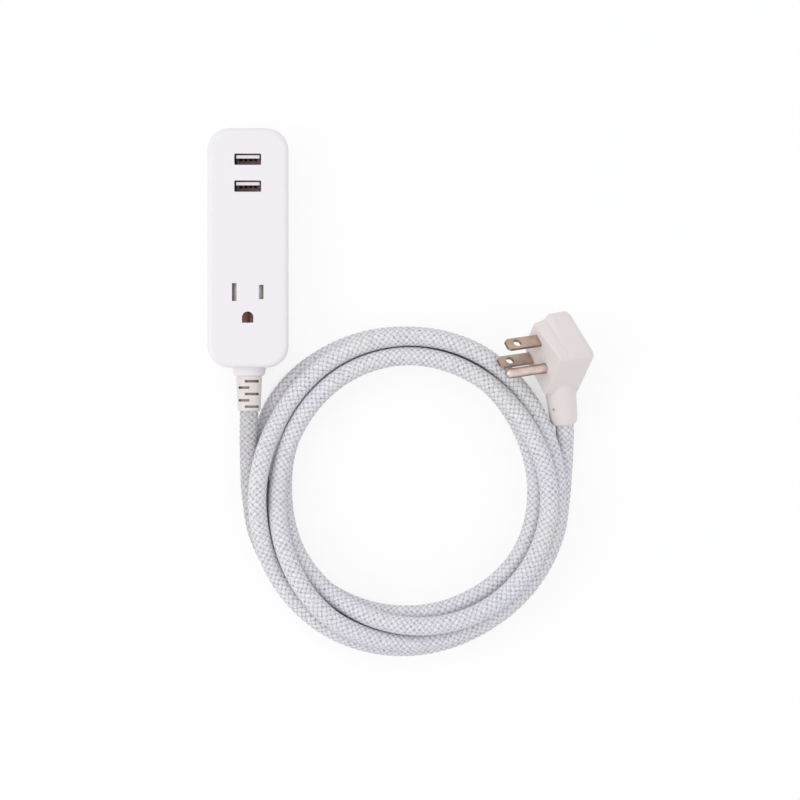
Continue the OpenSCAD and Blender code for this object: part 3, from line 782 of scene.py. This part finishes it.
# painted shade along the edges of the bundles
shaded = maths(tree, "MULTIPLY", weave.outputs["Edge"], 0.6)
edged = blend_colours(tree, shaded, ground, EDGE_SHADE)
how_open = remap(tree, yarn_tone, 0.35, 0.65, 0.05, 0.5)
# painted shade in the open holes between bundles
open_hole = maths(tree, "MULTIPLY", weave.outputs["Hole"], how_open)
holes_in_shade = blend_colours(tree, open_hole, edged, HOLE_SHADE)
tree.links.new(holes_in_shade, shader.inputs["Base Color"])
from_boot = add_node(tree, "ShaderNodeSeparateXYZ", {"Vector": along_cord}).outputs["Y"]
# greyer over the first ten centimetres or so from the boot
tone_over(braid, remap(tree, from_boot, 0.14, 0.07), (0.80, 0.79, 0.77))
relief = add_node(tree, "ShaderNodeBump", {
    "Height": weave.outputs["Height"], "Distance": 0.3 * MM, "Strength": 0.6})
tree.links.new(relief.outputs["Normal"], shader.inputs["Normal"])
cord.data.materials.append(braid)
print("braid:", len(tree.nodes), "nodes")

# %% [markdown]
# ## Floor and light
#
# The set is a sheet of white paper.  Lit alone it comes out grey, and lamps
# strong enough to make it white would burn out the head as well.  So the paper
# also glows, for rays from the camera and in mirrors alone, and lights
# nothing else.  The glow fades where something stands close over the paper:
# that keeps the contact shadow, and a dark line between two turns of the
# cord.  The plane is lowered in edit mode by less than the cord's relief.

# %% Floor
GLOW, GLOW_REACH = 0.84, 30 * MM
FLOOR_DROP = 0.3 * MM


def seen_directly(tree):
    """1 for rays from the camera, or by way of a mirror or glass."""
    ray = add_node(tree, "ShaderNodeLightPath").outputs
    by_way = maths(tree, "MAXIMUM", ray["Is Glossy Ray"], ray["Is Transmission Ray"])
    return maths(tree, "MAXIMUM", ray["Is Camera Ray"], by_way)


clear_selection()
bpy.ops.mesh.primitive_plane_add(size=6, location=(0, 0, 0))
floor = bpy.context.object
floor.name = "floor"
bpy.ops.object.mode_set(mode="EDIT")
bpy.ops.mesh.select_all(action="SELECT")
bpy.ops.transform.translate(value=(0, 0, -FLOOR_DROP))
bpy.ops.object.mode_set(mode="OBJECT")
paper, tree, shader = start_material("paper", (0.97, 0.97, 0.97), 0.9, specular=0.1)
glow = add_node(tree, "ShaderNodeEmission", {"Color": (1, 1, 1, 1), "Strength": 1.0})
open_sky = add_node(
    tree, "ShaderNodeAmbientOcclusion", {"Distance": GLOW_REACH}, samples=8).outputs["AO"]
lit = remap(tree, open_sky, 0.05, 0.17, 0.0, GLOW)
paper_mix = add_node(
    tree, "ShaderNodeMixShader", {0: maths(tree, "MULTIPLY", seen_directly(tree), lit)})
tree.links.new(shader.outputs["BSDF"], paper_mix.inputs[1])
tree.links.new(glow.outputs["Emission"], paper_mix.inputs[2])
tree.links.new(paper_mix.outputs["Shader"], tree.nodes["Material Output"].inputs["Surface"])
floor.data.materials.append(paper)
clear_selection()
print("floor", round(floor.dimensions.x, 2), "m wide")

# %% [markdown]
# Most of the light is a white tent all round, as in a product studio: it
# fills every shadow evenly.  It is a little dimmer as a light than as a
# background, so that white parts keep some tone against the paper.

# %% World
TENT_LIGHT = 0.86
world = bpy.data.worlds.new("studio")
bpy.context.scene.world = world
world.use_nodes = True
tree = world.node_tree
sky = tree.nodes["Background"]
sky.inputs["Color"].default_value = (0.97, 0.98, 1.0, 1)
tree.links.new(remap(tree, seen_directly(tree), 0, 1, TENT_LIGHT, 1.0), sky.inputs["Strength"])
print("tent light", TENT_LIGHT)

# %% [markdown]
# A tent alone makes flat pictures, so three broad discs give the forms their
# round side and their shade: a key from the upper left, a weak fill opposite,
# and a low one from the left that shapes the plug and the cord.  Discs wider
# than the object keep the shadows soft.

# %% Lamps
MIDDLE = (0.07, -0.07, 0)


def soft_lamp(name, place, aim, size, power):
    """A round lamp of that size in metres and power in watts."""
    bpy.ops.object.light_add(type="AREA", location=place)
    lamp = bpy.context.object
    lamp.name = name
    lamp.data.shape = "DISK"
    lamp.data.size = size
    lamp.data.energy = power
    lamp.rotation_euler = (Vector(aim) - Vector(place)).to_track_quat("-Z", "Y").to_euler()
    lamp.visible_camera = False
    print(name, "lamp,", power, "W")


soft_lamp("key", (-0.35, 0.55, 1.3), MIDDLE, 0.7, 2.0)
soft_lamp("fill", (0.8, -0.5, 1.1), MIDDLE, 0.9, 0.6)
soft_lamp("side", (-0.5, -0.1, 0.55), (0.12, -0.07, 0), 0.5, 1.0)

# %% [markdown]
# ## Colour management
#
# The standard view shows a colour about as it was written; a film-like one
# would turn the white parts grey.

# %% Colour management
bpy.context.scene.view_settings.view_transform = "Standard"
